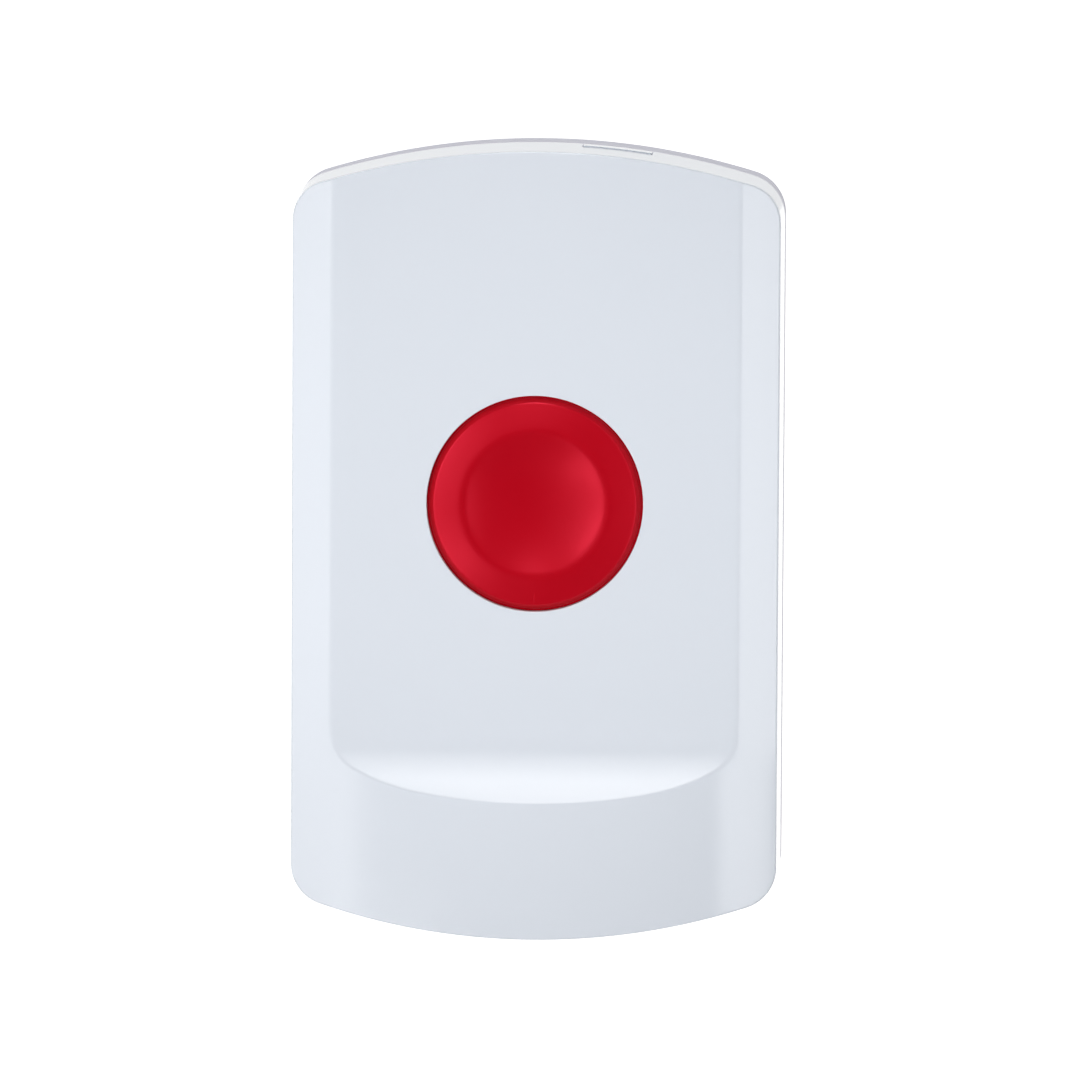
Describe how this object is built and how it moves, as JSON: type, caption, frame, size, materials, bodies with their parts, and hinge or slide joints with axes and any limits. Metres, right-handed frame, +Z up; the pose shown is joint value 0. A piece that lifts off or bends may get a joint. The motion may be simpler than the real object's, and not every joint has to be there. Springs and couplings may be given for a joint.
{
  "type": "panic button",
  "caption": "Wall-mounted wireless panic button: a drafted white two-part case with a flat panel, a ramp and lip, and a dished red press button.",
  "frame": {"origin": "centre of the flat back face that lies on the wall", "axes": "+X to the right seen from the front, +Z up the wall, +Y into the wall, so the front faces -Y"},
  "size_m": [0.0538, 0.0198, 0.0868],
  "materials": {
    "gloss_white": "polished moulded plastic, cool white",
    "base_white": "fine textured moulded plastic, cool white",
    "button_red": "satin translucent red plastic",
    "spring_steel": "drawn spring wire",
    "screw_steel": "zinc plated",
    "board_green": "green solder mask on glass fibre board",
    "module_blue": "blue solder mask on glass fibre board",
    "dark_plastic": "black moulded plastic",
    "tinned_metal": "tin plated sheet",
    "gold_metal": "gold plated contact metal",
    "lamp_clear": "clear lamp lens on a white base",
    "ceramic_brown": "ceramic chip with tinned ends",
    "cell_steel": "nickel plated can",
    "plunger_white": "natural acetal plastic"
  },
  "bodies": {
    "base": {"rear_base": "base_white"},
    "latch": {"release_latch": "gloss_white"},
    "front": {"front_cover": "gloss_white", "button_spring": "spring_steel", "circuit_board": "board_green", "board_screws": "screw_steel", "switch_body": "dark_plastic", "switch_cover": "tinned_metal", "switch_terminals": "tinned_metal", "indicator_leds": "lamp_clear", "radio_module_board": "module_blue", "radio_shield": "tinned_metal", "antenna_coil": "gold_metal", "controller_chip": "dark_plastic", "clock_crystal": "tinned_metal", "chip_components": "ceramic_brown", "battery_holder": "dark_plastic", "battery_positive_clip": "gold_metal", "battery_negative_contact": "gold_metal", "coin_cell": "cell_steel", "tamper_switch_body": "dark_plastic"},
    "button": {"button_cap": "button_red"},
    "switch_plunger": {"switch_plunger": "dark_plastic"},
    "tamper_plunger": {"tamper_plunger": "plunger_white"}
  },
  "joints": [
    {"name": "case_open", "type": "hinge", "parent": "base", "child": "front", "pos_m": [0, -0.0065, -0.04337], "axis": [1, 0, 0], "range_deg": [0, 30]},
    {"name": "latch_press", "type": "hinge", "parent": "base", "child": "latch", "pos_m": [0.0086, -0.00225, 0.04005], "axis": [1, 0, 0], "range_deg": [0, 3.5], "stiffness_Nm_per_rad": 0.38},
    {"name": "button_press", "type": "slide", "parent": "front", "child": "button", "axis": [0, 1, 0], "range_m": [0, 0.0012], "stiffness_N_per_m": 450, "springref_m": -0.002, "deforming": ["button_spring"]},
    {"name": "switch_press", "type": "slide", "parent": "front", "child": "switch_plunger", "axis": [0, 1, 0], "range_m": [0, 0.00025]},
    {"name": "tamper_release", "type": "slide", "parent": "front", "child": "tamper_plunger", "axis": [0, 1, 0], "range_m": [0, 0.0015]}
  ],
  "couplings": [
    {"joint": "switch_press", "follows": "button_press", "ratio": 0.20833}
  ]
}
